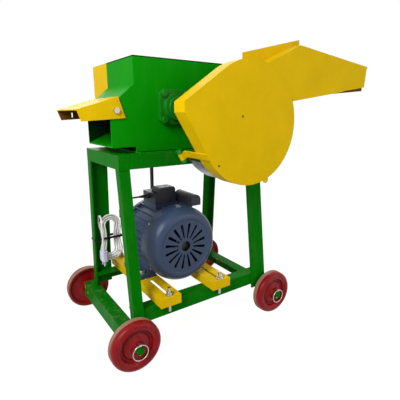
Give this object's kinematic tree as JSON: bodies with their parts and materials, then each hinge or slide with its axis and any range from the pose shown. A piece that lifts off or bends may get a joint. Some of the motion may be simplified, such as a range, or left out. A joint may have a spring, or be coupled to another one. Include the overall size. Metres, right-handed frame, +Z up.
{
  "type": "chaff cutter",
  "caption": "Motor-driven fodder chopper on a wheeled angle-iron stand, with a hooded feed mouth, a belt-driven knife drum, a hinged round thrower cover and a long discharge chute.",
  "frame": {"origin": "on the floor, under the middle of the machine's bounding box without its cord", "axes": "+X along the machine from the feed mouth to the end of the chute, +Y to the belt side, +Z up"},
  "size_m": [1.022, 0.49, 0.9],
  "materials": {
    "green_paint": "gloss enamel",
    "yellow_paint": "satin enamel",
    "motor_paint": "satin enamel",
    "black_plastic": "moulded",
    "zinc": "zinc plated",
    "steel": "machined",
    "cast": "as cast, grey",
    "galvanised": "galvanised sheet",
    "red_wheel": "gloss enamel",
    "tread": "tan tread",
    "belt_rubber": "matt",
    "cord_black": "cord sheath",
    "cord_white": "cord sheath",
    "plug_plastic": "moulded"
  },
  "bodies": {
    "stand": {"legs_near": "green_paint", "legs_far": "green_paint", "top_rails_long": "green_paint", "top_rails_short": "green_paint", "side_rails": "green_paint", "axle_beams": "green_paint", "axles": "green_paint", "ring_pins": "zinc", "motor_rails": "yellow_paint", "rail_bolts": "zinc", "motor_body": "motor_paint", "drive_end_shield": "motor_paint", "fan_cowl": "motor_paint", "terminal_box": "black_plastic", "terminal_lid": "black_plastic", "capacitor_cover": "black_plastic", "motor_bolts": "zinc", "drive_belt": "belt_rubber", "shear_bar": "steel", "flange_bearings": "green_paint", "flange_bolts": "green_paint", "box_front": "green_paint", "box_rear": "green_paint", "box_right": "green_paint", "box_top": "green_paint", "floor_plates": "green_paint", "mouth_roof": "green_paint", "hood_bolts": "zinc", "drive_guard": "yellow_paint", "transfer_trough": "galvanised", "hinge_pin": "green_paint", "motor_lead": "cord_black", "lead_joint": "cord_black", "mains_hank": "cord_white", "plug_tail": "cord_white", "plug": "plug_plastic", "cord_tie": "cord_black"},
    "knife_rotor": {"main_shaft": "steel", "main_pulley": "cast", "main_gear": "steel", "knife_drum": "steel", "knives": "steel"},
    "motor_rotor": {"motor_shaft": "steel", "cooling_fan": "black_plastic", "motor_pulley": "cast"},
    "thrower_rotor": {"thrower_shaft": "steel", "thrower_gear": "steel", "thrower": "steel"},
    "hood_body": {"hood": "yellow_paint"},
    "lid_body": {"lid": "yellow_paint", "chute": "yellow_paint", "lid_strap": "yellow_paint"},
    "wheel_near_left_body": {"wheel_near_left": "red_wheel", "tyre_near_left": "tread"},
    "wheel_near_right_body": {"wheel_near_right": "red_wheel", "tyre_near_right": "tread"},
    "wheel_far_left_body": {"wheel_far_left": "red_wheel", "tyre_far_left": "tread"},
    "wheel_far_right_body": {"wheel_far_right": "red_wheel", "tyre_far_right": "tread"}
  },
  "joints": [
    {"name": "knife_spin", "type": "hinge", "parent": "stand", "child": "knife_rotor", "pos_m": [-0.238, 0.00499, 0.699], "axis": [0, 1, 0], "continuous": true},
    {"name": "motor_spin", "type": "hinge", "parent": "stand", "child": "motor_rotor", "pos_m": [-0.229, 0.00499, 0.288], "axis": [0, 1, 0], "continuous": true},
    {"name": "thrower_spin", "type": "hinge", "parent": "stand", "child": "thrower_rotor", "pos_m": [-0.07875, 0.00499, 0.65213], "axis": [0, 1, 0], "continuous": true},
    {"name": "hood_tip", "type": "hinge", "parent": "stand", "child": "hood_body", "pos_m": [-0.409, 0.00499, 0.689], "axis": [0, 1, 0], "range_deg": [-50, 2.5]},
    {"name": "lid_open", "type": "hinge", "parent": "stand", "child": "lid_body", "pos_m": [-0.2431, -0.13601, 0.56421], "axis": [0.5275, 0, -0.8496], "range_deg": [0, 90]},
    {"name": "wheel_near_left_roll", "type": "hinge", "parent": "stand", "child": "wheel_near_left_body", "pos_m": [-0.438, -0.20301, 0.073], "axis": [0, 1, 0], "continuous": true},
    {"name": "wheel_near_right_roll", "type": "hinge", "parent": "stand", "child": "wheel_near_right_body", "pos_m": [0.08, -0.20301, 0.073], "axis": [0, 1, 0], "continuous": true},
    {"name": "wheel_far_left_roll", "type": "hinge", "parent": "stand", "child": "wheel_far_left_body", "pos_m": [-0.438, 0.21299, 0.073], "axis": [0, 1, 0], "continuous": true},
    {"name": "wheel_far_right_roll", "type": "hinge", "parent": "stand", "child": "wheel_far_right_body", "pos_m": [0.08, 0.21299, 0.073], "axis": [0, 1, 0], "continuous": true}
  ],
  "couplings": [
    {"joint": "motor_spin", "follows": "knife_spin", "ratio": 1.2364},
    {"joint": "thrower_spin", "follows": "knife_spin", "ratio": -1.3056}
  ]
}
